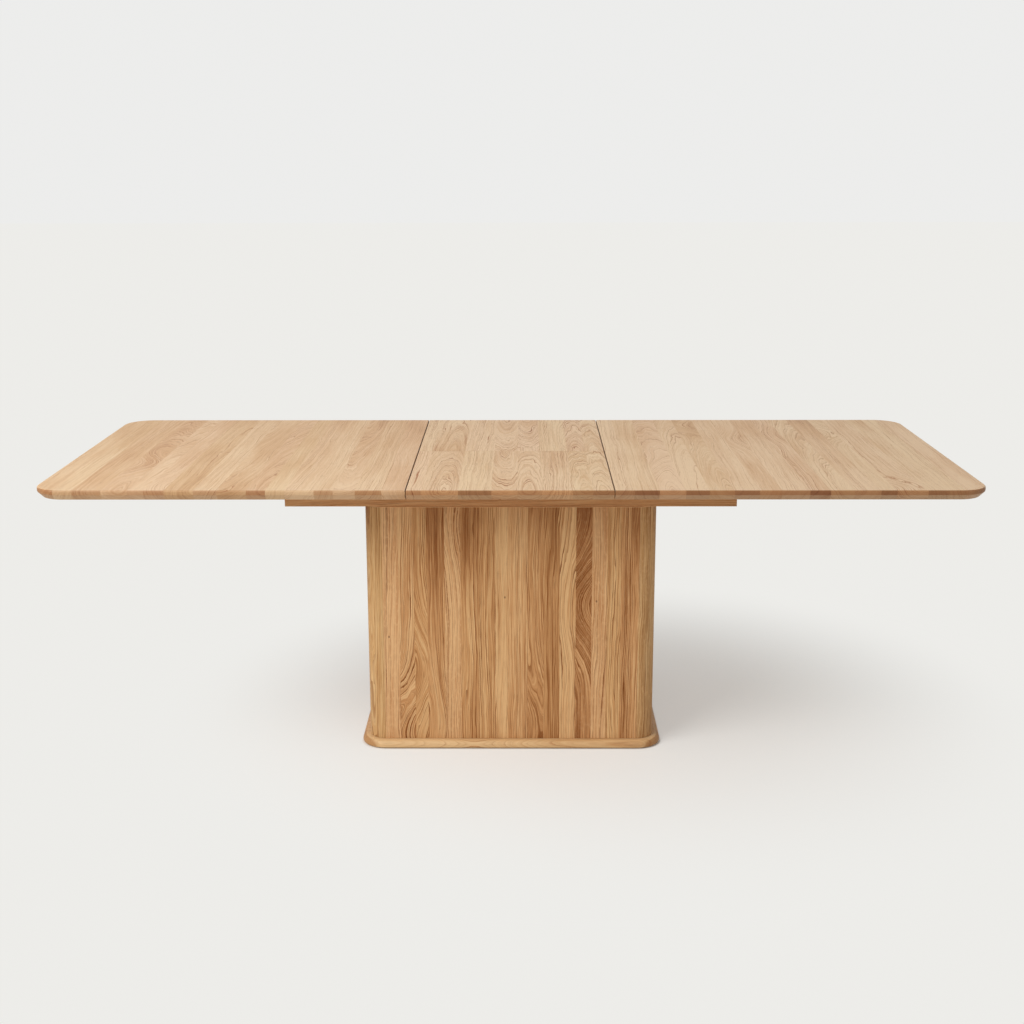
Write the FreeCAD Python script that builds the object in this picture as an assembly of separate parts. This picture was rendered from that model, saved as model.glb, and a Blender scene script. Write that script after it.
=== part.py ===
import FreeCAD, Part
import os

# Extending pedestal table in oak. X runs along the table, Y across it, Z up from the floor.
# The model stands at full extension, with the folding leaf lying between the two halves of the top.
# All sizes are in millimetres.

# Top
table_height = 750.0
top_width = 1000.0
top_thickness = 26.0
half_length = 938.0
leaf_length = 520.0
seam_gap = 2.0
seam_chamfer = 1.4
fold_gap = 0.6
top_corner_radius = 78.0
top_upper_round = 5.0
under_bevel = 14.0
bevel_round = 5.0

# Pedestal
column_width = 768.0
column_depth = 658.0
column_wall = 22.0
column_corner_radius = 45.0
column_top_round = 2.0
column_foot_bevel = 1.0
inner_board_thickness = 22.0
board_clearance = 0.2
spline_thickness = 6.0
spline_width = 16.0
spline_end_setback = 20.0
spline_clearance = 0.1
plinth_thickness = 20.0
plinth_overhang = 21.0
plinth_upper_round = 13.0
plinth_lower_round = 4.0
glide_thickness = 2.0
glide_radius = 20.0
glide_inset = 60.0
plinth_screw_inset = 80.0

# Frame on the pedestal
frame_height = 56.0
rail_length = 1180.0
rail_thickness = 22.0
rail_setback = 3.0
cross_rail_height = 20.0
dowel_radius = 4.0
dowel_length = 32.0
dowel_clearance = 0.1
bracket_width = 40.0
bracket_height = 22.0
bracket_depth = 25.0
bracket_sheet = 2.5
bracket_spacing = 400.0
bracket_hole_spacing = 24.0

# Runners between the frame and the halves of the top
slide_clearance = 0.3
channel_height = 24.0
channel_depth = 14.0
channel_drop = 4.0
channel_end_setback = 5.0
channel_screw_count = 5
channel_screw_setback = 60.0
runner_sheet = 2.0
runner_inset = 2.5
runner_end_margin = 30.0
runner_screw_setback = 40.0
mouth_gap = 3.0
cleat_height = 30.0
cleat_thickness = 22.0
cleat_inset = 7.5
cleat_end_setback = 160.0
cleat_screw_setback = 60.0
screws_per_length = 3
draw_out_travel = 40.0
stop_peg_radius = 4.0
stop_peg_inset = 13.0
stop_peg_drop = 11.0
stop_peg_seat = 12.0
stop_gap = 0.3

# Flat steel profiles let into the underside of each half
batten_width = 30.0
batten_depth = 10.0
batten_sheet = 3.0
batten_end_setback = 120.0
batten_screw_setback = 60.0

# Leaf fittings
leaf_peg_radius = 4.0
leaf_peg_drop = 6.0
leaf_peg_seat = 10.0
leaf_peg_clearance = 1.0
leaf_peg_spacing = 300.0
hinge_barrel_radius = 6.0
hinge_barrel_length = 20.0
hinge_barrel_depth = 10.0
hinge_count = 3
hinge_end_setback = 60.0
hinge_slot_width = 3.0
hinge_slot_depth = 8.0

# Screws
screw_radius = 2.0
screw_head_radius = 4.0
screw_head_height = 2.2
pan_head_radius = 3.5
pan_head_height = 2.0
screw_clearance = 0.15
screw_bite = 12.0

# Levels and places worked out from the sizes above
top_underside = table_height - top_thickness
rail_top = top_underside - slide_clearance
column_base = glide_thickness + plinth_thickness
column_top = top_underside - frame_height
cross_rail_top = column_top + cross_rail_height
half_inner = leaf_length / 2 + seam_gap
half_outer = half_inner + half_length
edge_y = top_width / 2
column_x = column_width / 2
column_y = column_depth / 2
inside_x = column_x - column_wall
inside_y = column_y - column_wall
rail_outer_y = column_y - rail_setback
rail_inner_y = rail_outer_y - rail_thickness
rail_middle_y = (rail_outer_y + rail_inner_y) / 2
rail_end = rail_length / 2
channel_top = top_underside - channel_drop
channel_bottom = channel_top - channel_height
channel_middle = (channel_top + channel_bottom) / 2
channel_mouth_y = rail_inner_y - channel_depth
channel_end = rail_end - channel_end_setback
cleat_outer_y = channel_mouth_y - mouth_gap
cleat_inner_y = cleat_outer_y - cleat_thickness
cleat_middle_y = (cleat_outer_y + cleat_inner_y) / 2
cleat_bottom = top_underside - cleat_height
cleat_start = half_inner + cleat_inset
cleat_end = half_outer - cleat_end_setback
runner_start = half_inner + runner_inset
runner_end = runner_start + rail_end - runner_end_margin
stop_peg_x = cleat_start + stop_peg_inset
cross_rail_start = stop_peg_x + stop_peg_radius + draw_out_travel + stop_gap
batten_y = (rail_outer_y + edge_y) / 2
batten_start = half_inner + batten_end_setback
batten_end = half_outer - batten_end_setback

UP = FreeCAD.Vector(0, 0, 1)
DOWN = FreeCAD.Vector(0, 0, -1)
SIDES = {"front": -1, "rear": 1}
ENDS = {"left": -1, "right": 1}

os.makedirs("parts", exist_ok=True)


def vec(x, y, z):
    return FreeCAD.Vector(x, y, z)


def block(x0, x1, y0, y1, z0, z1):
    """A box between two values on each axis, given in either order."""
    low = vec(min(x0, x1), min(y0, y1), min(z0, z1))
    return Part.makeBox(abs(x1 - x0), abs(y1 - y0), abs(z1 - z0), low)


def evenly(start, end, count):
    step = (end - start) / (count - 1)
    return [start + step * i for i in range(count)]


def cut_all(shape, tools):
    return shape.cut(Part.makeCompound(tools)).removeSplitter()


def save(node, *solids):
    shape = solids[0] if len(solids) == 1 else Part.makeCompound(list(solids))
    shape.exportStep("parts/" + node + ".step")


def edges_at(shape, test):
    return [e for e in shape.Edges if test(e.CenterOfMass, e)]


def round_upright_edges(shape, radius, test):
    upright = edges_at(shape, lambda c, e: e.BoundBox.ZLength > e.BoundBox.DiagonalLength / 2 and test(c))
    return shape.makeFillet(radius, upright)


def round_rim(shape, level, radius, test):
    rim = edges_at(shape, lambda c, e: abs(c.z - level) < radius / 10 and e.BoundBox.ZLength < radius and test(c))
    return shape.makeFillet(radius, rim)


def countersunk_screw(point, direction, length, grow=0.0):
    """A wood screw whose flat head is flush at the point. grow makes the hole for it."""
    head = Part.makeCone(screw_head_radius + grow, screw_radius + grow, screw_head_height, point, direction)
    shank = Part.makeCylinder(screw_radius + grow, length + grow, point, direction)
    return head.fuse(shank).removeSplitter()


def pan_screw(point, direction, length, grow=0.0):
    """A screw whose round head stands on the surface at the point. grow makes the hole for its shank."""
    shank = Part.makeCylinder(screw_radius + grow, length + grow, point, direction)
    if grow:
        return shank
    head = Part.makeCylinder(pan_head_radius, pan_head_height, point - direction * pan_head_height, direction)
    return head.fuse(shank).removeSplitter()


def holes(screw, places):
    """The clearance holes for screws of one kind at (point, direction, length) places."""
    return [screw(*place, grow=screw_clearance) for place in places]


def plinth_screw_places():
    length = plinth_thickness + inner_board_thickness - screw_head_height
    x = inside_x - plinth_screw_inset
    y = inside_y - plinth_screw_inset
    return [(vec(i * x, j * y, glide_thickness), UP, length) for i in (-1, 0, 1) for j in (-1, 1)]


def make_plinth():
    out_x = column_x + plinth_overhang
    out_y = column_y + plinth_overhang
    slab = block(-out_x, out_x, -out_y, out_y, glide_thickness, column_base)
    slab = round_upright_edges(slab, column_corner_radius + plinth_overhang, lambda c: True)
    slab = round_rim(slab, column_base, plinth_upper_round, lambda c: True)
    slab = round_rim(slab, glide_thickness, plinth_lower_round, lambda c: True)
    save("plinth", cut_all(slab, holes(countersunk_screw, plinth_screw_places())))
    save("plinth_screws", *[countersunk_screw(*place) for place in plinth_screw_places()])
    glide_x = out_x - glide_inset
    glide_y = out_y - glide_inset
    glides = [Part.makeCylinder(glide_radius, glide_thickness, vec(i * glide_x, j * glide_y, 0))
              for i in (-1, 0, 1) for j in (-1, 1)]
    save("floor_glides", *glides)


def corner_post(i, j, z0, z1, grow=0.0):
    """A quarter-round post at the corner on side i of X and side j of Y."""
    centre = vec(i * (column_x - column_corner_radius), j * (column_y - column_corner_radius), z0)
    disc = Part.makeCylinder(column_corner_radius, z1 - z0, centre)
    quarter = block(centre.x - i * grow, i * column_x, centre.y - j * grow, j * column_y, z0, z1)
    return quarter if grow else disc.common(quarter)


def spline_list(grow=0.0):
    """Loose tongues that join each panel's upright edges to the corner posts."""
    z0 = column_base + spline_end_setback - grow
    z1 = column_top - spline_end_setback + grow
    half_w = spline_width / 2 + grow
    half_t = spline_thickness / 2 + grow
    seam_x = column_x - column_corner_radius
    seam_y = column_y - column_corner_radius
    panel_x = column_x - column_wall / 2
    panel_y = column_y - column_wall / 2
    tongues = []
    for i in (-1, 1):
        for j in (-1, 1):
            tongues.append(block(i * seam_x - half_w, i * seam_x + half_w,
                                 j * panel_y - half_t, j * panel_y + half_t, z0, z1))
            tongues.append(block(i * panel_x - half_t, i * panel_x + half_t,
                                 j * seam_y - half_w, j * seam_y + half_w, z0, z1))
    return tongues


def on_column_face(point):
    """Whether a point lies on the outer face of the column, round its corners too."""
    across_x = abs(point.x) - (column_x - column_corner_radius)
    across_y = abs(point.y) - (column_y - column_corner_radius)
    reach = vec(max(across_x, 0), max(across_y, 0), 0).Length
    return abs(reach - column_corner_radius) < column_foot_bevel / 10


def ease_column_edges(piece):
    """Rounds the outer edge of a wall piece at the column's top and bevels it at the foot."""
    def outer_edges(level):
        level_edges = edges_at(piece, lambda c, e: abs(c.z - level) < column_foot_bevel / 10)
        return [e for e in level_edges if on_column_face(e.valueAt((e.FirstParameter + e.LastParameter) / 2))]
    piece = piece.makeFillet(column_top_round, outer_edges(column_top))
    return piece.makeChamfer(column_foot_bevel, outer_edges(column_base))


def make_column():
    grooves = spline_list(spline_clearance)
    seam_x = column_x - column_corner_radius
    seam_y = column_y - column_corner_radius
    for side, j in SIDES.items():
        panel = block(-seam_x, seam_x, j * column_y, j * inside_y, column_base, column_top)
        save("column_" + side + "_panel", cut_all(ease_column_edges(panel), grooves))
        for end, i in ENDS.items():
            post = corner_post(i, j, column_base, column_top)
            save("corner_post_" + side + "_" + end, cut_all(ease_column_edges(post), grooves))
    for end, i in ENDS.items():
        panel = block(i * column_x, i * inside_x, -seam_y, seam_y, column_base, column_top)
        save("column_" + end + "_panel", cut_all(ease_column_edges(panel), grooves))
    save("column_splines", *spline_list())


def inner_board(z0, z1):
    """A board that fills the column from wall to wall, notched around the corner posts."""
    board = block(-inside_x, inside_x, -inside_y, inside_y, z0, z1)
    return cut_all(board, [corner_post(i, j, z0, z1, board_clearance) for i in (-1, 1) for j in (-1, 1)])


def make_inner_boards():
    bottom = inner_board(column_base, column_base + inner_board_thickness)
    save("column_bottom_board", cut_all(bottom, holes(countersunk_screw, plinth_screw_places())))
    top = inner_board(column_top - inner_board_thickness, column_top)
    save("column_top_board", cut_all(top, holes(pan_screw, bracket_screw_places())))


def bracket_screw_places():
    """Screws through each angle bracket: level ones into the rail, upright ones into the top board."""
    places = []
    level_z = column_top + (bracket_sheet + bracket_height) / 2
    foot_y = rail_inner_y - (bracket_sheet + bracket_depth) / 2
    length = bracket_sheet + screw_bite
    for j in SIDES.values():
        for i in (-1, 1):
            for k in (-1, 1):
                x = i * bracket_spacing / 2 + k * bracket_hole_spacing / 2
                places.append((vec(x, j * (rail_inner_y - bracket_sheet), level_z), vec(0, j, 0), length))
                places.append((vec(x, j * foot_y, column_top + bracket_sheet), DOWN, length))
    return places


def make_brackets():
    brackets = []
    screw_holes = holes(pan_screw, bracket_screw_places())
    for j in SIDES.values():
        for i in (-1, 1):
            x0 = i * bracket_spacing / 2 - bracket_width / 2
            x1 = x0 + bracket_width
            face = j * rail_inner_y
            upright = block(x0, x1, face, face - j * bracket_sheet, column_top, column_top + bracket_height)
            foot = block(x0, x1, face, face - j * bracket_depth, column_top, column_top + bracket_sheet)
            brackets.append(cut_all(upright.fuse(foot), screw_holes))
    save("frame_brackets", *brackets)
    save("bracket_screws", *[pan_screw(*place) for place in bracket_screw_places()])


def cross_rail_centres():
    middle = cross_rail_start + rail_thickness / 2
    last = rail_end - rail_thickness / 2
    return {"left_end_rail": -last, "left_cross_rail": -middle, "right_cross_rail": middle, "right_end_rail": last}


def dowel_list(grow=0.0):
    """Round dowels that join the low rails across the frame to the two long rails."""
    z = column_top + cross_rail_height / 2
    length = dowel_length + 2 * grow
    dowels = []
    for x in cross_rail_centres().values():
        for j in SIDES.values():
            start = vec(x, j * rail_inner_y - length / 2, z)
            dowels.append(Part.makeCylinder(dowel_radius + grow, length, start, vec(0, 1, 0)))
    return dowels


def leaf_peg_list(j, radius, z0, z1):
    """Pegs under one half of the leaf that drop into the long rail on side j."""
    return [Part.makeCylinder(radius, z1 - z0, vec(i * leaf_peg_spacing / 2, j * rail_middle_y, z0))
            for i in (-1, 1)]


def channel_screw_places(j):
    reach = channel_end - channel_screw_setback
    start_y = j * (rail_inner_y - runner_sheet)
    return [(vec(x, start_y, channel_middle), vec(0, j, 0), runner_sheet + screw_bite)
            for x in evenly(-reach, reach, channel_screw_count)]


def make_frame():
    for side, j in SIDES.items():
        rail = block(-rail_end, rail_end, j * rail_outer_y, j * rail_inner_y, column_top, rail_top)
        peg_floor = top_underside - leaf_peg_drop - leaf_peg_clearance
        tools = leaf_peg_list(j, leaf_peg_radius + leaf_peg_clearance, peg_floor, top_underside)
        tools += dowel_list(dowel_clearance)
        tools += holes(pan_screw, channel_screw_places(j) + bracket_screw_places())
        save(side + "_rail", cut_all(rail, tools))
    for node, x in cross_rail_centres().items():
        low_rail = block(x - rail_thickness / 2, x + rail_thickness / 2, -rail_inner_y, rail_inner_y,
                         column_top, cross_rail_top)
        save(node, cut_all(low_rail, dowel_list(dowel_clearance)))
    save("frame_dowels", *dowel_list())


def make_channels():
    for side, j in SIDES.items():
        outer = block(-channel_end, channel_end, j * rail_inner_y, j * channel_mouth_y, channel_bottom, channel_top)
        hollow = block(-channel_end, channel_end, j * (rail_inner_y - runner_sheet), j * channel_mouth_y,
                       channel_bottom + runner_sheet, channel_top - runner_sheet)
        save(side + "_channel", cut_all(outer, [hollow] + holes(pan_screw, channel_screw_places(j))))
    screws = [pan_screw(*place) for j in SIDES.values() for place in channel_screw_places(j)]
    save("channel_screws", *screws)


def cleat_screw_places(i, j):
    length = cleat_height + top_thickness - screw_bite
    xs = evenly(cleat_start + cleat_screw_setback, cleat_end - cleat_screw_setback, screws_per_length)
    return [(vec(i * x, j * cleat_middle_y, cleat_bottom), UP, length) for x in xs]


def runner_screw_places(i, j):
    xs = evenly(runner_start + runner_screw_setback, runner_end - runner_screw_setback, screws_per_length)
    start_y = j * (cleat_outer_y + runner_sheet)
    return [(vec(i * x, start_y, channel_middle), vec(0, -j, 0), runner_sheet + screw_bite) for x in xs]


def batten_screw_places(i, j):
    xs = evenly(batten_start + batten_screw_setback, batten_end - batten_screw_setback, screws_per_length)
    start_z = top_underside + batten_depth - batten_sheet
    length = batten_sheet + (top_thickness - batten_depth) / 2
    return [(vec(i * x, j * batten_y, start_z), UP, length) for x in xs]


def stop_peg(i, j, grow=0.0):
    """The peg under a cleat's inner end that meets the cross rail when the half is drawn right out."""
    start = vec(i * stop_peg_x, j * cleat_middle_y, cleat_bottom - stop_peg_drop)
    return Part.makeCylinder(stop_peg_radius + grow, stop_peg_drop + stop_peg_seat + grow, start)


def make_cleat(i, j):
    cleat = block(i * cleat_start, i * cleat_end, j * cleat_inner_y, j * cleat_outer_y, cleat_bottom, top_underside)
    tools = holes(countersunk_screw, cleat_screw_places(i, j)) + holes(pan_screw, runner_screw_places(i, j))
    return cut_all(cleat, tools + [stop_peg(i, j, screw_clearance)])


def make_runner(i, j):
    """A steel profile on the cleat's outer face, open towards the channel that it slides in."""
    tip_y = rail_inner_y - runner_sheet - slide_clearance
    z0 = channel_bottom + runner_sheet + slide_clearance
    z1 = channel_top - runner_sheet - slide_clearance
    outer = block(i * runner_start, i * runner_end, j * cleat_outer_y, j * tip_y, z0, z1)
    hollow = block(i * runner_start, i * runner_end, j * (cleat_outer_y + runner_sheet), j * tip_y,
                   z0 + runner_sheet, z1 - runner_sheet)
    return cut_all(outer, [hollow] + holes(pan_screw, runner_screw_places(i, j)))


def batten_block(i, j, grow):
    half_w = batten_width / 2 + grow
    return block(i * (batten_start - grow), i * (batten_end + grow), j * batten_y - half_w, j * batten_y + half_w,
                 top_underside, top_underside + batten_depth + grow)


def make_batten(i, j):
    half_w = batten_width / 2 - batten_sheet
    hollow = block(i * batten_start, i * batten_end, j * batten_y - half_w, j * batten_y + half_w,
                   top_underside, top_underside + batten_depth - batten_sheet)
    return cut_all(batten_block(i, j, 0.0), [hollow] + holes(pan_screw, batten_screw_places(i, j)))


def seam_bevel(x, toward, y0, y1):
    """The small chamfer along a seam at x, on the side of the board that lies toward -1 or +1 of X."""
    corners = [vec(x, y0, table_height), vec(x + toward * seam_chamfer, y0, table_height),
               vec(x, y0, table_height - seam_chamfer)]
    face = Part.Face(Part.makePolygon(corners + corners[:1]))
    return face.extrude(vec(0, y1 - y0, 0))


def bevel_underside(board, test):
    """Bevels the lower edge of a top board and softens both corners of the bevel."""
    low_rim = edges_at(board, lambda c, e: abs(c.z - top_underside) < bevel_round / 10 and test(c))
    board = board.makeChamfer(under_bevel, low_rim)
    return round_rim(board, top_underside + under_bevel, bevel_round, test)


def make_half_board(i):
    board = block(i * half_inner, i * half_outer, -edge_y, edge_y, top_underside, table_height)
    on_seam = i * half_inner
    outer_edge = lambda c: abs(c.x - on_seam) > seam_chamfer
    board = round_upright_edges(board, top_corner_radius, outer_edge)
    board = round_rim(board, table_height, top_upper_round, outer_edge)
    board = bevel_underside(board, outer_edge)
    tools = [seam_bevel(on_seam, i, -edge_y, edge_y)]
    for j in SIDES.values():
        tools.append(batten_block(i, j, board_clearance))
        tools += holes(countersunk_screw, cleat_screw_places(i, j))
        tools += holes(pan_screw, batten_screw_places(i, j))
    return cut_all(board, tools)


def make_half(end, i):
    """One sliding half of the top, with everything that travels with it."""
    save(end + "_top_board", make_half_board(i))
    for side, j in SIDES.items():
        save(end + "_" + side + "_cleat", make_cleat(i, j))
        save(end + "_" + side + "_runner", make_runner(i, j))
        save(end + "_" + side + "_batten", make_batten(i, j))
    both = list(SIDES.values())
    save(end + "_cleat_screws", *[countersunk_screw(*p) for j in both for p in cleat_screw_places(i, j)])
    save(end + "_runner_screws", *[pan_screw(*p) for j in both for p in runner_screw_places(i, j)])
    save(end + "_batten_screws", *[pan_screw(*p) for j in both for p in batten_screw_places(i, j)])
    save(end + "_stop_pegs", *[stop_peg(i, j) for j in both])


def hinge_barrels(j, grow=0.0):
    """Concealed hinge barrels let into the fold face of the leaf half on side j."""
    reach = leaf_length / 2 - hinge_end_setback
    z = table_height - hinge_barrel_depth
    barrels = []
    for x in evenly(-reach, reach, hinge_count):
        start = vec(x, j * fold_gap / 2, z)
        barrel = Part.makeCylinder(hinge_barrel_radius + grow, hinge_barrel_length + grow, start, vec(0, j, 0))
        if not grow:
            slot = block(x - hinge_slot_width / 2, x + hinge_slot_width / 2, start.y, start.y + j * hinge_slot_depth,
                         z - hinge_barrel_radius, z + hinge_barrel_radius)
            barrel = barrel.cut(slot)
        barrels.append(barrel)
    return barrels


def make_leaf_half(side, j):
    fold_y = j * fold_gap / 2
    board = block(-leaf_length / 2, leaf_length / 2, fold_y, j * edge_y, top_underside, table_height)
    on_rim = lambda c: abs(c.y - j * edge_y) < seam_chamfer
    board = round_rim(board, table_height, top_upper_round, on_rim)
    board = bevel_underside(board, on_rim)
    tools = [seam_bevel(i * leaf_length / 2, -i, fold_y, j * edge_y) for i in (-1, 1)]
    tools += hinge_barrels(j, board_clearance)
    peg_low = top_underside - leaf_peg_drop
    peg_high = top_underside + leaf_peg_seat
    tools += leaf_peg_list(j, leaf_peg_radius + screw_clearance, top_underside, peg_high + screw_clearance)
    save(side + "_leaf_board", cut_all(board, tools))
    save(side + "_leaf_hinges", *hinge_barrels(j))
    save(side + "_leaf_pegs", *leaf_peg_list(j, leaf_peg_radius, peg_low, peg_high))


make_plinth()
make_column()
make_inner_boards()
make_frame()
make_brackets()
make_channels()
for end, i in ENDS.items():
    make_half(end, i)
for side, j in SIDES.items():
    make_leaf_half(side, j)
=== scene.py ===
"""The looks of an extending oak pedestal table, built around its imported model. Metres, Z up."""
import math
import random
from collections import namedtuple

import bpy
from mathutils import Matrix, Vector


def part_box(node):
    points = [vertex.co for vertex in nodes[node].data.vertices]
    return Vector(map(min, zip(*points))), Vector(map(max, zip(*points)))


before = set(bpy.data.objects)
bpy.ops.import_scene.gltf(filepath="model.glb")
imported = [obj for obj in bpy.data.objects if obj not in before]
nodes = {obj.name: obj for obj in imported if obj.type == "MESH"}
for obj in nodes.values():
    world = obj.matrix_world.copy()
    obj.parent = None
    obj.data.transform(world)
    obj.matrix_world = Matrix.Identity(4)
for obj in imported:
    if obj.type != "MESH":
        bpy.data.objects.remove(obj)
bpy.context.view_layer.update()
AXES = "xyz"

# Camera, fitted to the photograph's edges
CAMERA_PLACE = (0.0290, -4.0951, 1.5695)
CAMERA_PITCH = math.radians(13.666)
CAMERA_YAW = math.radians(0.363)
CAMERA_ROLL = math.radians(0.10)
CAMERA_LENS = 52.176
SENSOR_WIDTH = 36.0

# Light
WHITE = (1.0, 1.0, 1.0, 1.0)
BACKDROP = (0.845, 0.845, 0.835, 1.0)
SKY_STRENGTH = 0.545
KEY_POWER = 240.0
KEY_SIZE = 3.4
KEY_PLACE = Vector((-3.13, -2.82, 4.03))
KEY_AIM = Vector((0.0, 0.0, 0.5))

# Floor, which glows as the backdrop does past the fade and less near the table
FLOOR_COLOUR = (0.82, 0.80, 0.765, 1.0)
FLOOR_GLOW = (0.848, 0.842, 0.815, 1.0)
FLOOR_GLOW_NEAR = 0.44
FLOOR_ROUGHNESS = 0.9
FLOOR_GLOSS = 0.1
FLOOR_SPAN = 60.0
FLOOR_FADE_CENTRE = 0.25
FLOOR_FADE_START = 0.4
FLOOR_FADE_END = 1.3
PLINTH_CORNER = 0.066
CONTACT_REACH = 0.006

# The curve between the values that a screen shows and light
SCREEN_WHITE = 255
STRAIGHT_END = 0.04045
STRAIGHT_SLOPE = 12.92
CURVE_LIFT = 0.055
CURVE_POWER = 2.4


def srgb(*shown):
    """A linear colour from the 0 to 255 values that a screen shows."""
    def linear(value):
        share = value / SCREEN_WHITE
        if share <= STRAIGHT_END:
            return share / STRAIGHT_SLOPE
        return ((share + CURVE_LIFT) / (1 + CURVE_LIFT)) ** CURVE_POWER
    return tuple(linear(value) for value in shown) + (1.0,)


def times(colour, factor):
    """A colour made paler or darker all over."""
    return tuple(factor * value for value in colour[:3]) + (1.0,)


class Wire:
    """One value in a recipe. Arithmetic on it adds the Math nodes that work it out."""

    def __init__(self, recipe, socket):
        self.recipe = recipe
        self.socket = socket

    def math(self, operation, *values):
        return self.recipe.node("Math", {"operation": operation}, dict(enumerate(values)))

    def __add__(self, other):
        return self.math("ADD", self, other)

    def __sub__(self, other):
        return self.math("SUBTRACT", self, other)

    def __rsub__(self, other):
        return self.math("SUBTRACT", other, self)

    def __mul__(self, other):
        return self.math("MULTIPLY", self, other)

    def __truediv__(self, other):
        return self.math("DIVIDE", self, other)

    def __pow__(self, other):
        return self.math("POWER", self, other)

    def __abs__(self):
        return self.math("ABSOLUTE", self)

    __radd__ = __add__
    __rmul__ = __mul__

    def floor(self):
        return self.math("FLOOR", self)

    def fract(self):
        return self.math("FRACT", self)

    def rounded(self):
        return self.math("ROUND", self)

    def root(self):
        return self.math("SQRT", self)

    def at_least(self, value):
        return self.math("MAXIMUM", self, value)

    def signed(self):
        """From 0 to 1 becomes from -1 to 1."""
        return self * 2 - 1

    def hump(self):
        """1 where the value is 0, falling away smoothly on both sides."""
        return self.math("EXPONENT", self * self * -1)

    def over(self, low, high):
        """0 below low, 1 above high, and smooth between."""
        return self.recipe.node("MapRange", {"interpolation_type": "SMOOTHSTEP"},
                                {"Value": self, "From Min": low, "From Max": high})


# The Mix node's sockets for colours, and the level that noise swings about
MIX_SHARE = 0
MIX_FIRST = 6
MIX_SECOND = 7
MIX_RESULT = 2
NOISE_MIDDLE = 0.5


class Recipe:
    """The nodes of a material or of the sky, and the short ways of adding to them."""

    def __init__(self, tree):
        self.tree = tree

    def node(self, kind, settings=None, inputs=None, output=0):
        """Adds one node: its settings first, then the values or wires of its sockets."""
        made = self.tree.nodes.new("ShaderNode" + kind)
        for key, value in (settings or {}).items():
            if key == "stops":
                self.set_stops(made.color_ramp, value)
            elif key == "steps":
                made.color_ramp.interpolation = value
            else:
                setattr(made, key, value)
        for key, value in (inputs or {}).items():
            self.feed(made.inputs[key], value)
        return Wire(self, made.outputs[output])

    def set_stops(self, ramp, stops):
        while len(ramp.elements) > 1:
            ramp.elements.remove(ramp.elements[-1])
        ramp.elements[0].position, ramp.elements[0].color = stops[0]
        for position, colour in stops[1:]:
            ramp.elements.new(position).color = colour

    def feed(self, socket, value):
        if isinstance(value, Wire):
            self.tree.links.new(value.socket, socket)
        else:
            socket.default_value = value

    def show(self, shader, output):
        """Makes a shader the one that the named output node shows."""
        self.feed(self.tree.nodes[output].inputs["Surface"], shader)

    def seen(self):
        """1 for what the camera sees, straight or in a reflection, and 0 for light on its way elsewhere."""
        straight = self.node("LightPath", output="Is Camera Ray")
        return straight + self.node("LightPath", output="Is Glossy Ray")

    def mix(self, first, second, share, blend="MIX"):
        settings = {"data_type": "RGBA", "blend_type": blend}
        sockets = {MIX_SHARE: share, MIX_FIRST: first, MIX_SECOND: second}
        return self.node("Mix", settings, sockets, MIX_RESULT)

    def ramp(self, value, stops, steps="LINEAR"):
        return self.node("ValToRGB", {"steps": steps, "stops": stops}, {"Fac": value})

    def split(self, kind, value):
        """The three values of a colour or a point."""
        return [self.node(kind, None, {0: value}, output) for output in range(3)]

    def parts(self, colour):
        return self.split("SeparateColor", colour)

    def place(self):
        """The point's X, Y and Z on the piece, as three values."""
        return self.split("SeparateXYZ", self.node("TexCoord", output="Object"))

    def facing(self):
        """The surface's own normal on the piece, as three values."""
        return self.split("SeparateXYZ", self.node("TexCoord", output="Normal"))

    def noise(self, x, y, z, detail=2.0, roughness=0.5):
        point = self.node("CombineXYZ", None, {0: x, 1: y, 2: z})
        sockets = {"Vector": point, "Scale": 1.0, "Detail": detail, "Roughness": roughness}
        return self.node("TexNoise", None, sockets)

    def mottle(self, counts, detail):
        """Noise with a count of marks in a metre along each axis."""
        return self.noise(*(value * count for value, count in zip(self.place(), counts)), detail)

    def chance(self, value, output="Value"):
        """A random number, always the same for the same value."""
        return self.node("TexWhiteNoise", {"noise_dimensions": "1D"}, {"W": value}, output)


class Finish(Recipe):
    """A material round one Principled shader."""

    def __init__(self, name):
        self.material = bpy.data.materials.new(name)
        self.material.use_nodes = True
        super().__init__(self.material.node_tree)
        self.shader = self.tree.nodes["Principled BSDF"]

    def set(self, **sockets):
        for name, value in sockets.items():
            self.feed(self.shader.inputs[name.replace("_", " ")], value)

    def bump(self, height, distance, strength):
        sockets = {"Height": height, "Distance": distance, "Strength": strength}
        self.set(Normal=self.node("Bump", None, sockets))


# Colours of the oak, with tones from pale to dark
COLUMN_TONES = ((0.0, srgb(217, 177, 131)), (0.5, srgb(192, 143, 97)), (1.0, srgb(141, 89, 48)))
PLINTH_TONES = ((0.0, srgb(211, 178, 134)), (0.5, srgb(192, 151, 104)), (1.0, srgb(148, 102, 58)))
TOP_TONES = ((0.0, srgb(220, 191, 157)), (0.5, srgb(201, 163, 123)), (1.0, srgb(158, 115, 73)))
RING_COLOUR = srgb(122, 70, 30)
TOP_RING_COLOUR = srgb(150, 88, 30)
PORE_COLOUR = srgb(92, 52, 22)
RAY_COLOUR = srgb(226, 188, 140)
KNOT_COLOUR = srgb(70, 40, 22)
# painted shade colour for the seams between the top's boards
SEAM_SHADE_COLOUR = srgb(86, 53, 30)
# painted highlight colour for the column's upper edge
BRIM_HIGHLIGHT_COLOUR = srgb(232, 190, 144)
YELLOWER = srgb(255, 254, 244)
REDDER = srgb(254, 249, 244)
PLAIN_ENDS = (srgb(236, 222, 206), srgb(192, 164, 138))
LEFT_ENDS = (srgb(237, 234, 229), srgb(192, 164, 138))
RIGHT_ENDS = (srgb(198, 169, 142), srgb(150, 112, 82))
LEAF_ENDS = (srgb(232, 206, 178), srgb(164, 130, 100))

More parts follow.
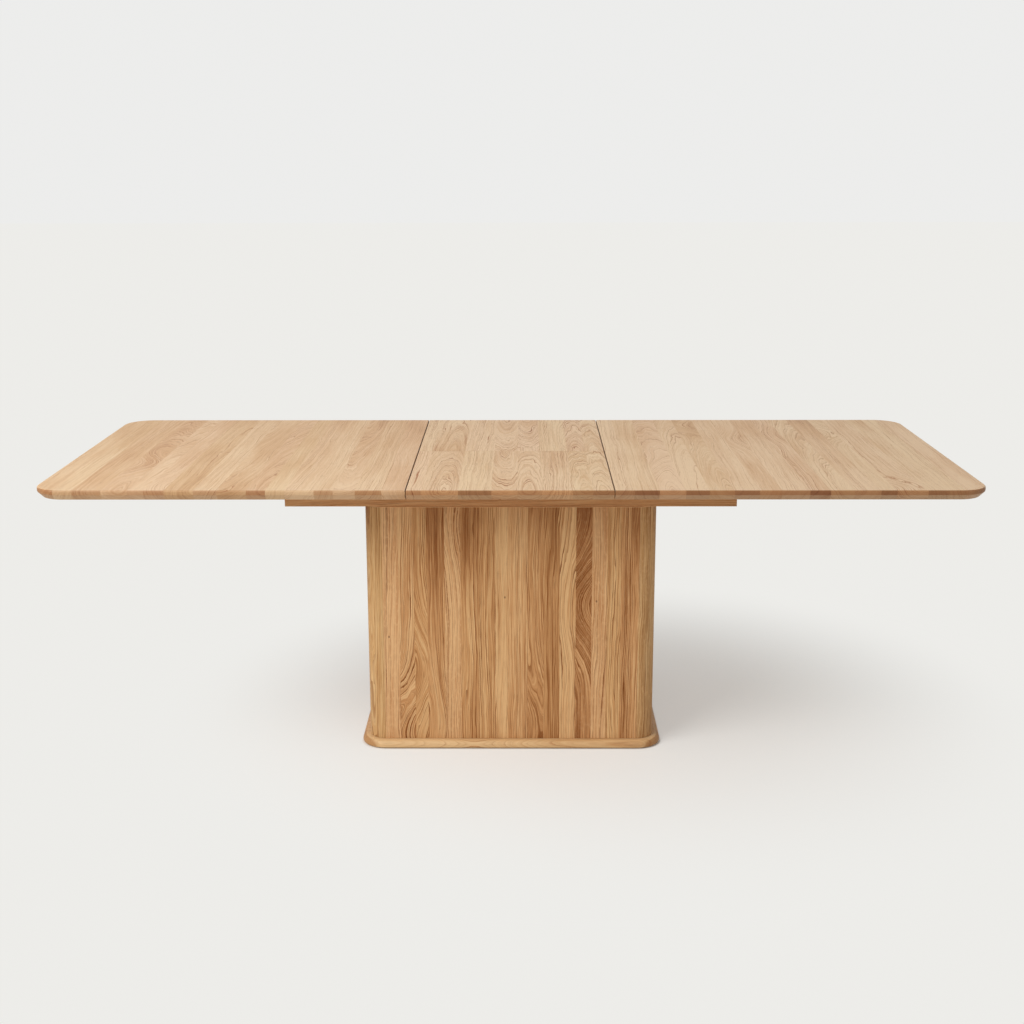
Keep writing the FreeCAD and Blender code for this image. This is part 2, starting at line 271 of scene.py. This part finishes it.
# A look: ring is the rings' spacing, wander how far they stray, gloss and coat are the shader's own levels,
# and line, streak, cloud, pore and ray say how strong each mark is
Look = namedtuple("Look", "tones ring_colour ring wander line streak cloud pore ray gloss coat")
COLUMN_LOOK = Look(tones=COLUMN_TONES, ring_colour=RING_COLOUR, ring=0.0050, wander=1.5, line=1.5,
                   streak=2.2, cloud=0.7, pore=0.65, ray=0.3, gloss=0.15, coat=0.0)
# painted sheen: the corner posts take the paler, greyer plinth tones, standing in for the sheen that light
# lays on their rounded faces
POST_SHEEN_LOOK = COLUMN_LOOK._replace(tones=PLINTH_TONES)
TOP_LOOK = Look(tones=TOP_TONES, ring_colour=TOP_RING_COLOUR, ring=0.0030, wander=1.3, line=0.9,
                streak=0.95, cloud=0.8, pore=0.38, ray=0.12, gloss=0.35, coat=0.12)
LEAF_LOOK = TOP_LOOK._replace(ring=0.0023, wander=1.5, line=1.5, streak=1.35, cloud=0.7, pore=0.58)
RAIL_LOOK = Look(tones=COLUMN_TONES, ring_colour=RING_COLOUR, ring=0.0050, wander=1.0, line=0.6,
                 streak=1.4, cloud=0.8, pore=0.4, ray=0.1, gloss=0.2, coat=0.0)
PLINTH_LOOK = RAIL_LOOK._replace(tones=PLINTH_TONES, ring_colour=TOP_RING_COLOUR, streak=1.2, gloss=0.3,
                                 coat=0.1)
INNER_LOOK = RAIL_LOOK._replace(tones=TOP_TONES, ring_colour=TOP_RING_COLOUR, line=0.5, streak=1.0, pore=0.3)

# A stave's swirl is a local bulge of its rings at swirl_at along its length, and fade makes one end darker.
# The default fade of 0.2 is painted shade: it darkens the upper end of the column's staves as the top's
# shadow would, and the high end along the grain of every other stave that keeps it
Stave = namedtuple("Stave", "width tone figure swirl swirl_at fade", defaults=(0.0, 0.5, 0.2))
FIGURED = (0.6, 1.0)
STRAIGHT = (0.0, 0.3)
MIXED_WIDTHS = (0.7, 1.3)
MIXED_SWIRLS = (0.2, 0.7)
MIXED_SWIRL_CHANCE = 0.25
MIXED_FADES = (-0.3, 0.3)
FADE_MIDDLE = 0.5

# Factors that set one stave's or ring's draws apart from the next one's, and which of a stave's three draws
# settles the way that its pith rises, its hue and its rays
STAVE_DRAWS = 913.7
END_DRAWS = 57.3
RING_DRAWS = 50
WAY_DRAW = 0
HUE_DRAW = 2
RAY_DRAW = 2

# Where a stave's pith lies, how far its swirl moves it, and how the rings round it look. A varied value has
# a least and the most that one of the stave's draws adds
Varied = namedtuple("Varied", "least extra draw")
PITH_ASIDE = Varied(0.05, 0.08, 1)
PITH_DEPTH = Varied(0.004, 0.012, 1)
PITH_SLOPE = Varied(0.012, 0.035, 2)
FIGURED_SLOPE = 0.07
SWIRL_REACH = 0.13
SWIRL_SHIFT = 0.12
SWIRL_DARKER = 0.8
RING_WIDTH = Varied(0.75, 0.5, 2)
RING_LEAST = 0.12
RING_SHARPNESS = 2.5
RING_WORN = 0.35
RING_WEAR = (0.3, 0.62)
SLOW_SWAY = 0.02
QUICK_SWAY = 0.006
RING_UNEVEN = 0.012

# A pattern: marks in a metre across and along the grain, and the jump from stave to stave across, along and
# into the wood, each as one of the stave's own draws and its size
Pattern = namedtuple("Pattern", "across along jumps detail roughness", defaults=(2.0, 0.5))
SLOW_PATTERN = Pattern(10, 2.2, ((0, 31), (1, 17), (2, 23)))
QUICK_PATTERN = Pattern(60, 8.0, ((1, 29), (2, 13), None))
UNEVEN_PATTERN = Pattern(70, 0.0, (None, (1, 90), (2, 90)))
WEAR_PATTERN = Pattern(30, 4.0, ((2, 7), None, None))
BROAD_PATTERN = Pattern(60, 1.2, (None, (0, 19), (2, 41)))
FINE_PATTERN = Pattern(370, 4.5, (None, (1, 23), (0, 37)), 3.0, 0.7)
CLOUD_PATTERN = Pattern(9, 2.8, ((1, 11), (2, 7), None))
PORE_PATTERN = Pattern(640, 24.0, (None, (1, 90), None), 2.0, 0.6)
RAY_PATTERN = Pattern(120, 90.0, ((2, 5), None, None), 1.0)
BROAD_SHARE = 0.35
PORE_LEVELS = (0.52, 0.68)
PORE_LEAST = 0.3
RAY_LEVELS = (0.5, 0.7)
RAY_STAVES = (0.45, 0.75)
RAY_BEND = 1 / 30

# Knots, end grain with painted light on its downward bevels, seams with painted shade, and the column's foot
# with painted shade and its brim with a painted highlight
KNOT_RADII = (0.0006, 0.0034)
KNOT_STRETCH = 0.7
KNOT_LEAST = 0.3
END_TURN = (0.2, 0.5)
# painted light: the end-grain tint is eased on faces that look down, so the downward bevels read lighter
BEVEL_TURN = (0.2, 0.6)
BEVEL_PAINTED_LIGHT = 0.4
# painted shade along the seams: its reach across them and its depth from the top face
SEAM_REACH = (0.0003, 0.0006)
SEAM_DEPTH = (0.002, 0.004)
# painted shade: how much darker the column gets towards its foot, and over what height
FOOT_SHADE = 0.17
FOOT_REACH = 0.24
# painted highlight: the band just below the column's upper edge where the pale line is painted
BRIM_HIGHLIGHT_EDGE = (-0.0022, -0.0008)

# How oak shines and how deep its marks are
OAK_ROUGHNESS = 0.54
PORE_ROUGHER = 0.12
STREAK_ROUGHER = 0.1
OAK_IOR = 1.45
COAT_ROUGHNESS = 0.5
RING_HOLLOW = 0.3
PORE_HOLLOW = 0.7
OAK_BUMP = (0.0004, 0.25)

# How a piece lies: the axis that its staves run along, the one that they are glued up along, and the side of
# the third axis that its show face is on
Lie = namedtuple("Lie", "grain across show")
OVER_TABLE = Lie("y", "x", 1)
ALONG_FACE_UP = Lie("x", "y", 1)
ALONG_FACE_DOWN = Lie("x", "y", -1)
FRONT_EDGE = Lie("x", "z", -1)
REAR_EDGE = Lie("x", "z", 1)
CROSSWISE_EDGE = Lie("y", "z", -1)
UPRIGHT_FRONT = Lie("z", "x", -1)
UPRIGHT_REAR = Lie("z", "x", 1)
UPRIGHT_LEFT = Lie("z", "y", -1)
UPRIGHT_RIGHT = Lie("z", "y", 1)


def stave_stops(staves):
    """Two sets of ramp stops for a board glued up from staves.

    The first carries each stave's tone, figure and middle, the second its swirl, swirl_at and fade.
    """
    def unsigned(value):
        return (value + 1) / 2

    span = sum(stave.width for stave in staves)
    main, more = [], []
    edge = 0.0
    for stave in staves:
        middle = (edge + stave.width / 2) / span
        main.append((edge / span, (stave.tone, stave.figure, middle, 1.0)))
        more.append((edge / span, (unsigned(stave.swirl), stave.swirl_at, unsigned(stave.fade), 1.0)))
        edge += stave.width
    return main, more


def mixed_staves(count, seed, tones, figured, fade=0.0):
    """Staves of uneven width, drawn from a seeded source. A share of them, figured, show arches."""
    draw = random.Random(seed)
    staves = []
    for _ in range(count):
        figure = draw.uniform(*(FIGURED if draw.random() < figured else STRAIGHT))
        swirl = 0.0
        if draw.random() < MIXED_SWIRL_CHANCE:
            swirl = draw.choice((-1, 1)) * draw.uniform(*MIXED_SWIRLS)
        staves.append(Stave(width=draw.uniform(*MIXED_WIDTHS), tone=draw.uniform(*tones), figure=figure,
                            swirl=swirl, swirl_at=draw.random(), fade=fade + draw.uniform(*MIXED_FADES)))
    return staves


class Oak(Finish):
    """Oiled oak for one piece, solid all through and glued up from staves."""

    def __init__(self, node, lie, staves, seed, look):
        super().__init__("oak_" + node)
        self.look = look
        self.seed = seed
        self.grain = AXES.index(lie.grain)
        across = AXES.index(lie.across)
        deep = next(axis for axis in range(len(AXES)) if axis not in (self.grain, across))
        low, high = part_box(node)
        point = self.place()
        self.across = point[across]
        self.along = point[self.grain]
        self.above_foot = self.along - low[self.grain]
        self.length = high[self.grain] - low[self.grain]
        self.share = self.above_foot / self.length
        self.inward = high[deep] - point[deep] if lie.show > 0 else point[deep] - low[deep]
        self.read_staves(staves, low[across], high[across] - low[across])
        self.grow_rings()
        self.add_marks()

    def read_staves(self, staves, start, span):
        """The numbers of the stave that a point lies in, and three draws of its own."""
        main_stops, more_stops = stave_stops(staves)
        lookup = (self.across - start) / span
        self.tone, self.figure, self.middle = self.parts(self.ramp(lookup, main_stops, "CONSTANT"))
        swirl, self.swirl_at, fade = self.parts(self.ramp(lookup, more_stops, "CONSTANT"))
        self.swirl = swirl.signed()
        self.fade = fade.signed()
        self.own = self.parts(self.chance(self.middle * STAVE_DRAWS + self.seed, "Color"))
        self.local = (lookup - self.middle) * span

    def varied(self, value):
        return value.least + value.extra * self.own[value.draw]

    def pattern(self, kind, across=None, along=None, deep=None):
        """Noise drawn out along the grain, at the point itself where no other place is given."""
        places = (self.local if across is None else across, self.along if along is None else along,
                  self.inward if deep is None else deep)
        point = []
        for place, count, jump in zip(places, (kind.across, kind.along, kind.across), kind.jumps):
            value = place * count
            if jump:
                draw, size = jump
                value = value + self.own[draw] * size
            point.append(value)
        return self.noise(*point, kind.detail, kind.roughness)

    def swing(self, *pattern):
        """The same noise, as much below 0 as above it."""
        return self.pattern(*pattern) - NOISE_MIDDLE

    def grow_rings(self):
        """Growth rings round a pith, close under a figured stave and far to the side of a straight one."""
        way = self.own[WAY_DRAW].rounded()
        rise = way * self.share + (1 - way) * (1 - self.share)
        self.bulge = ((self.share - self.swirl_at) * (self.length / SWIRL_REACH)).hump() * self.swirl
        aside = way.signed() * (1 - self.figure) * self.varied(PITH_ASIDE) - self.bulge * SWIRL_SHIFT
        slope = self.varied(PITH_SLOPE) + FIGURED_SLOPE * self.figure
        depth = self.varied(PITH_DEPTH) + slope * self.length * rise
        radius = ((self.local - aside) ** 2 + (self.inward + depth) ** 2).root()
        sway = self.swing(SLOW_PATTERN) * SLOW_SWAY + self.swing(QUICK_PATTERN) * QUICK_SWAY
        self.flow = radius + sway * self.look.wander
        uneven = self.swing(UNEVEN_PATTERN, radius, 0.0, 0.0) * RING_UNEVEN
        rings = (self.flow + uneven) / (self.look.ring * self.varied(RING_WIDTH))
        strength = RING_LEAST + self.chance(rings.floor() + self.own[WAY_DRAW] * RING_DRAWS) ** 2
        whole = self.pattern(WEAR_PATTERN).over(*RING_WEAR)
        line = (1 - rings.fract()) ** RING_SHARPNESS
        self.ring_line = line * strength * (RING_WORN + (1 - RING_WORN) * whole)

    def add_marks(self):
        """Streaks that follow the rings, clouds, and pores and rays drawn out along the grain."""
        self.broad = self.swing(BROAD_PATTERN, self.flow, self.along, 0.0)
        self.fine = self.swing(FINE_PATTERN, self.flow, self.along, 0.0)
        self.cloud = self.swing(CLOUD_PATTERN)
        by_rings = PORE_LEAST + (1 - PORE_LEAST) * self.ring_line
        self.pores = self.pattern(PORE_PATTERN).over(*PORE_LEVELS) * by_rings
        flecks = self.pattern(RAY_PATTERN, self.local, self.along + self.fine * RAY_BEND).over(*RAY_LEVELS)
        self.rays = flecks * (1 - self.figure) * self.own[RAY_DRAW].over(*RAY_STAVES)

    def wood(self, foot):
        """The colour of the sawn wood. A foot adds painted shade, darker towards the low end."""
        look = self.look
        shade = self.tone + self.fade * (self.share - FADE_MIDDLE)
        shade = shade + (self.broad * BROAD_SHARE + self.fine) * look.streak + self.cloud * look.cloud
        # painted shade: darker towards the foot of the column
        if foot:
            shade = shade + FOOT_SHADE * (1 - self.above_foot.over(0.0, FOOT_REACH))
        wood = self.ramp(shade, look.tones)
        ring_share = self.ring_line * look.line * (1 + SWIRL_DARKER * abs(self.bulge))
        wood = self.mix(wood, look.ring_colour, ring_share)
        wood = self.mix(wood, RAY_COLOUR, self.rays * look.ray)
        wood = self.mix(wood, PORE_COLOUR, self.pores * look.pore)
        return self.mix(wood, self.mix(YELLOWER, REDDER, self.own[HUE_DRAW]), 1.0, "MULTIPLY")

    def add_knots(self, wood, knots):
        for across, along in knots:
            off = ((self.across - across) ** 2 + ((self.along - along) * KNOT_STRETCH) ** 2).root()
            wood = self.mix(KNOT_COLOUR, wood, KNOT_LEAST + (1 - KNOT_LEAST) * off.over(*KNOT_RADII))
        return wood

    def add_ends(self, wood, ends):
        """End grain in one of two tints for each stave, weaker on faces that look down, which paints light
        onto the downward bevels.
        """
        tint = self.mix(*ends, self.chance(self.middle * END_DRAWS + self.seed))
        normal = self.facing()
        downward = 0 - normal[AXES.index("z")]
        # painted light: less tint on downward faces
        share = abs(normal[self.grain]).over(*END_TURN) * (1 - BEVEL_PAINTED_LIGHT * downward.over(*BEVEL_TURN))
        return self.mix(wood, tint, share, "MULTIPLY")

    def add_seam_shade(self, wood, seams):
        for seam in seams:
            # painted shade: darker within a fraction of a millimetre of each seam, near the top face
            clear = abs(self.across - seam).over(*SEAM_REACH)
            wood = self.mix(SEAM_SHADE_COLOUR, wood, clear.at_least(self.inward.over(*SEAM_DEPTH)))
        return wood

    def oil(self, wood):
        roughness = OAK_ROUGHNESS + PORE_ROUGHER * self.pores + STREAK_ROUGHER * self.fine
        self.set(Base_Color=wood, Roughness=roughness, IOR=OAK_IOR, Specular_IOR_Level=self.look.gloss,
                 Coat_Weight=self.look.coat, Coat_Roughness=COAT_ROUGHNESS)
        self.bump(1 - self.ring_line * RING_HOLLOW - self.pores * PORE_HOLLOW, *OAK_BUMP)


def oak(node, lie, staves, seed, look, knots=(), ends=PLAIN_ENDS, seams=(), brim=None):
    """Dresses one piece in oak.

    knots are (across, along) places of small pin knots, ends two colours that tint the end grain, and seams
    the levels across where the board is cut, with painted shade along them. brim is the level of an upper
    edge that gets a painted highlight, on a piece that is also painted darker towards its foot as shade.
    """
    finish = Oak(node, lie, staves, seed, look)
    wood = finish.wood(foot=brim is not None)
    wood = finish.add_knots(wood, knots)
    wood = finish.add_ends(wood, ends)
    wood = finish.add_seam_shade(wood, seams)
    # painted highlight: a pale line along the column's upper edge
    if brim is not None:
        wood = finish.mix(wood, BRIM_HIGHLIGHT_COLOUR, (finish.along - brim).over(*BRIM_HIGHLIGHT_EDGE))
    finish.oil(wood)
    dress(finish.material, node)


# Metal and nylon, with counts of marks in a metre along X, Y and Z
PLAIN_DETAIL = 2.0
RICH_DETAIL = 3.0
METAL_MARKS = (6.0, 960.0, 960.0)
METAL_PATCHES = (40.0, 40.0, 40.0)
METAL_DARKER = 0.72
METAL_UNEVEN = 0.2
METAL_BUMP = (0.0001, 0.2)
NYLON_SPECKLE = (900.0, 900.0, 900.0)
NYLON_WEAR = (120.0, 120.0, 120.0)
NYLON_PALER = 1.35
NYLON_ROUGHNESS = 0.5
NYLON_ROUGHER = 0.25
NYLON_BUMP = (0.0002, 0.3)
STEEL_COLOUR = srgb(92, 92, 94)
STEEL_ROUGHNESS = 0.42
ZINC_COLOUR = srgb(178, 176, 168)
ZINC_ROUGHNESS = 0.35
BRASS_COLOUR = srgb(196, 160, 92)
BRASS_ROUGHNESS = 0.32
NYLON_COLOUR = srgb(58, 50, 44)


def metal(name, colour, roughness):
    """Plain worked metal with faint drawing marks along X."""
    finish = Finish(name)
    marks = finish.mottle(METAL_MARKS, RICH_DETAIL)
    patches = finish.mottle(METAL_PATCHES, PLAIN_DETAIL)
    finish.set(Base_Color=finish.mix(times(colour, METAL_DARKER), colour, marks), Metallic=1.0,
               Roughness=roughness + (patches - NOISE_MIDDLE) * METAL_UNEVEN)
    finish.bump(marks, *METAL_BUMP)
    return finish.material


def nylon(name, colour):
    """Moulded nylon with a fine speckle, paler where it is worn."""
    finish = Finish(name)
    speckle = finish.mottle(NYLON_SPECKLE, PLAIN_DETAIL)
    wear = finish.mottle(NYLON_WEAR, RICH_DETAIL)
    finish.set(Base_Color=finish.mix(colour, times(colour, NYLON_PALER), wear),
               Roughness=NYLON_ROUGHNESS + NYLON_ROUGHER * speckle)
    finish.bump(speckle, *NYLON_BUMP)
    return finish.material


def dress(material, *names):
    for name in names:
        slots = nodes[name].data.materials
        slots.clear()
        slots.append(material)


# The halves of the top: tone is their palest stave, and figured the share of staves with arches
Half = namedtuple("Half", "seed ends tone fade figured")
HALVES = {"left": Half(11, LEFT_ENDS, 0.16, 0.25, 0.4), "right": Half(12, RIGHT_ENDS, 0.02, 0.2, 0.2)}
HALF_STAVES = 16
HALF_TONE_SPREAD = 0.28

# The leaf's staves from left to right, with widths in millimetres
LeafStave = namedtuple("LeafStave", "width figure front_tone rear_tone rear_fade")
LEAF_STAVES = (
    LeafStave(38, 0.1, 0.0, 0.0, 0.0),
    LeafStave(91, 0.8, 0.15, 0.24, -0.55),
    LeafStave(84, 0.2, 0.02, 0.03, 0.0),
    LeafStave(64, 1.0, 0.21, 0.12, -0.1),
    LeafStave(61, 1.0, 0.15, 0.12, 0.1),
    LeafStave(77, 0.2, 0.15, 0.12, 0.1),
    LeafStave(52, 0.9, 0.21, 0.07, -0.2),
    LeafStave(53, 1.0, 0.11, 0.1, 0.0))
FRONT_LEAF_SEED = 13
REAR_LEAF_SEED = 14

# The column's front panel, from left to right, with widths in millimetres
FRONT_STAVES = (
    Stave(41, 0.08, 0.0),
    Stave(41, 0.26, 0.3, swirl=1.0, swirl_at=0.02, fade=-0.15),
    Stave(33, 0.36, 0.1, swirl=-0.45, swirl_at=0.30),
    Stave(48, 0.52, 0.0, swirl=-0.25, swirl_at=0.05, fade=0.95),
    Stave(41, 0.16, 0.1, swirl=0.25, swirl_at=0.95),
    Stave(50, 0.46, 0.2, fade=0.35),
    Stave(40, 0.36, 0.0),
    Stave(37, 0.10, 0.1),
    Stave(53, 0.30, 0.0),
    Stave(40, 0.54, 0.4, swirl=-0.5, swirl_at=0.08),
    Stave(43, 0.60, 0.2, fade=0.3),
    Stave(43, 0.08, 0.3, swirl=0.2, swirl_at=0.6),
    Stave(42, 0.74, 0.4, swirl=0.9, swirl_at=0.58),
    Stave(39, 0.28, 0.2),
    Stave(38, 0.22, 0.1),
    Stave(49, 0.52, 0.0))
FRONT_KNOTS = ((-0.325, 0.311), (-0.016, 0.421), (0.227, 0.41))
FRONT_SEED = 21

# Pieces glued up from mixed staves. Those marked brimmed reach the column's upper edge, with a painted
# highlight along it and painted shade towards their foot
Glued = namedtuple("Glued", "name lie count tones figured seed look brimmed")
PANEL_TONES = (0.05, 0.7)
INNER_TONES = (0.0, 0.4)
PLINTH_TONE_RANGE = (0.0, 0.16)
GLUED_PIECES = (
    Glued("column_rear_panel", UPRIGHT_REAR, 16, PANEL_TONES, 0.2, 22, COLUMN_LOOK, True),
    Glued("column_left_panel", UPRIGHT_LEFT, 13, PANEL_TONES, 0.2, 23, COLUMN_LOOK, True),
    Glued("column_right_panel", UPRIGHT_RIGHT, 13, PANEL_TONES, 0.2, 24, COLUMN_LOOK, True),
    Glued("plinth", ALONG_FACE_UP, 9, PLINTH_TONE_RANGE, 0.2, 41, PLINTH_LOOK, False),
    Glued("column_bottom_board", ALONG_FACE_UP, 8, INNER_TONES, 0.4, 57, INNER_LOOK, False),
    Glued("column_top_board", ALONG_FACE_UP, 8, INNER_TONES, 0.4, 58, INNER_LOOK, False))

# Pieces of one stave; those marked brimmed get the same painted highlight and painted shade
Single = namedtuple("Single", "name lie tone seed look brimmed", defaults=(False,))
SINGLE_FIGURE = 0.2
SINGLE_PIECES = (
    Single("corner_post_front_left", UPRIGHT_FRONT, 0.38, 31, POST_SHEEN_LOOK, True),
    Single("corner_post_front_right", UPRIGHT_FRONT, 0.48, 32, POST_SHEEN_LOOK, True),
    Single("corner_post_rear_left", UPRIGHT_REAR, 0.3, 33, POST_SHEEN_LOOK, True),
    Single("corner_post_rear_right", UPRIGHT_REAR, 0.5, 34, POST_SHEEN_LOOK, True),
    Single("front_rail", FRONT_EDGE, 0.5, 51, RAIL_LOOK),
    Single("rear_rail", REAR_EDGE, 0.5, 52, RAIL_LOOK),
    Single("left_end_rail", CROSSWISE_EDGE, 0.5, 53, RAIL_LOOK),
    Single("right_end_rail", CROSSWISE_EDGE, 0.5, 54, RAIL_LOOK),
    Single("left_cross_rail", CROSSWISE_EDGE, 0.4, 55, RAIL_LOOK),
    Single("right_cross_rail", CROSSWISE_EDGE, 0.4, 56, RAIL_LOOK),
    Single("column_splines", UPRIGHT_REAR, 0.3, 59, INNER_LOOK),
    Single("frame_dowels", ALONG_FACE_UP, 0.3, 60, INNER_LOOK),
    Single("left_front_cleat", ALONG_FACE_DOWN, 0.35, 61, RAIL_LOOK),
    Single("left_rear_cleat", ALONG_FACE_DOWN, 0.35, 62, RAIL_LOOK),
    Single("left_stop_pegs", UPRIGHT_RIGHT, 0.3, 63, INNER_LOOK),
    Single("right_front_cleat", ALONG_FACE_DOWN, 0.35, 65, RAIL_LOOK),
    Single("right_rear_cleat", ALONG_FACE_DOWN, 0.35, 66, RAIL_LOOK),
    Single("right_stop_pegs", UPRIGHT_RIGHT, 0.3, 67, INNER_LOOK),
    Single("front_leaf_pegs", UPRIGHT_REAR, 0.3, 71, INNER_LOOK),
    Single("rear_leaf_pegs", UPRIGHT_REAR, 0.3, 72, INNER_LOOK))


def dress_top():
    """The two halves of the top and the leaf between them, with painted shade along their meeting edges."""
    for end, half in HALVES.items():
        board = end + "_top_board"
        tones = (half.tone, half.tone + HALF_TONE_SPREAD)
        staves = mixed_staves(HALF_STAVES, half.seed, tones, half.figured, half.fade)
        low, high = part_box(board)
        seam = high.x if end == "left" else low.x
        oak(board, OVER_TABLE, staves, half.seed, TOP_LOOK, ends=half.ends, seams=(seam,))
    front = [Stave(row.width, row.front_tone, row.figure) for row in LEAF_STAVES]
    rear = [Stave(row.width, row.rear_tone, row.figure, fade=row.rear_fade) for row in LEAF_STAVES]
    leaf = {"front_leaf_board": (front, FRONT_LEAF_SEED), "rear_leaf_board": (rear, REAR_LEAF_SEED)}
    for board, (staves, seed) in leaf.items():
        low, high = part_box(board)
        oak(board, OVER_TABLE, staves, seed, LEAF_LOOK, ends=LEAF_ENDS, seams=(low.x, high.x))


def dress_woodwork():
    """The column, the plinth, the frame and the small oak pieces."""
    front = "column_front_panel"
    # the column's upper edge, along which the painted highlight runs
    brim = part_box(front)[1].z
    oak(front, UPRIGHT_FRONT, FRONT_STAVES, FRONT_SEED, COLUMN_LOOK, knots=FRONT_KNOTS, brim=brim)
    for piece in GLUED_PIECES:
        staves = mixed_staves(piece.count, piece.seed, piece.tones, piece.figured)
        oak(piece.name, piece.lie, staves, piece.seed, piece.look, brim=brim if piece.brimmed else None)
    for piece in SINGLE_PIECES:
        staves = [Stave(1.0, piece.tone, SINGLE_FIGURE)]
        oak(piece.name, piece.lie, staves, piece.seed, piece.look, brim=brim if piece.brimmed else None)


def dress_fittings():
    steel = metal("runner_steel", STEEL_COLOUR, STEEL_ROUGHNESS)
    zinc = metal("zinc_screws", ZINC_COLOUR, ZINC_ROUGHNESS)
    brass = metal("hinge_brass", BRASS_COLOUR, BRASS_ROUGHNESS)
    for end in ("left", "right"):
        for side in ("front", "rear"):
            dress(steel, end + "_" + side + "_runner", end + "_" + side + "_batten")
        dress(zinc, end + "_cleat_screws", end + "_runner_screws", end + "_batten_screws")
    dress(steel, "front_channel", "rear_channel", "frame_brackets")
    dress(zinc, "channel_screws", "bracket_screws", "plinth_screws")
    dress(brass, "front_leaf_hinges", "rear_leaf_hinges")
    dress(nylon("nylon_glides", NYLON_COLOUR), "floor_glides")


def add_stage():
    """A pale floor that fades into the backdrop far from the table and stays dark under the plinth."""
    half = FLOOR_SPAN / 2
    corners = [(-half, -half, 0), (half, -half, 0), (half, half, 0), (-half, half, 0)]
    mesh = bpy.data.meshes.new("floor")
    mesh.from_pydata(corners, [], [tuple(range(len(corners)))])
    floor = bpy.data.objects.new("floor", mesh)
    bpy.context.collection.objects.link(floor)
    finish = Finish("floor")
    finish.set(Base_Color=FLOOR_COLOUR, Roughness=FLOOR_ROUGHNESS, Specular_IOR_Level=FLOOR_GLOSS)
    x, y, _ = finish.place()
    fade = ((x - FLOOR_FADE_CENTRE) ** 2 + y * y).root().over(FLOOR_FADE_START, FLOOR_FADE_END)
    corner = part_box("plinth")[1]
    past_x = (abs(x) - (corner.x - PLINTH_CORNER)).at_least(0.0)
    past_y = (abs(y) - (corner.y - PLINTH_CORNER)).at_least(0.0)
    clear = ((past_x * past_x + past_y * past_y).root() - PLINTH_CORNER).over(0.0, CONTACT_REACH)
    share = (FLOOR_GLOW_NEAR + (1 - FLOOR_GLOW_NEAR) * fade) * finish.seen() * clear
    body = Wire(finish, finish.shader.outputs[0])
    glow = finish.node("Emission", None, {"Color": FLOOR_GLOW, "Strength": 1.0})
    finish.show(finish.node("MixShader", None, {0: share, 1: body, 2: glow}), "Material Output")
    mesh.materials.append(finish.material)


def add_light():
    """A plain sky, seen as the backdrop, and one soft lamp."""
    world = bpy.data.worlds.new("studio")
    bpy.context.scene.world = world
    world.use_nodes = True
    air = Recipe(world.node_tree)
    sky = air.node("Background", None, {"Color": WHITE, "Strength": SKY_STRENGTH})
    backdrop = air.node("Background", None, {"Color": BACKDROP})
    air.show(air.node("MixShader", None, {0: air.seen(), 1: sky, 2: backdrop}), "World Output")
    lamp = bpy.data.lights.new("key", "AREA")
    lamp.energy = KEY_POWER
    lamp.size = KEY_SIZE
    key = bpy.data.objects.new("key", lamp)
    bpy.context.collection.objects.link(key)
    key.visible_camera = False
    key.location = KEY_PLACE
    key.rotation_euler = (KEY_AIM - KEY_PLACE).to_track_quat("-Z", "Y").to_euler()


def add_camera():
    lens = bpy.data.cameras.new("camera")
    lens.lens = CAMERA_LENS
    lens.sensor_width = SENSOR_WIDTH
    camera = bpy.data.objects.new("camera", lens)
    bpy.context.collection.objects.link(camera)
    camera.location = CAMERA_PLACE
    camera.rotation_euler = (math.pi / 2 - CAMERA_PITCH, CAMERA_ROLL, CAMERA_YAW)
    bpy.context.scene.camera = camera


bpy.context.scene.view_settings.view_transform = "Standard"
add_camera()
add_light()
add_stage()
dress_top()
dress_woodwork()
dress_fittings()
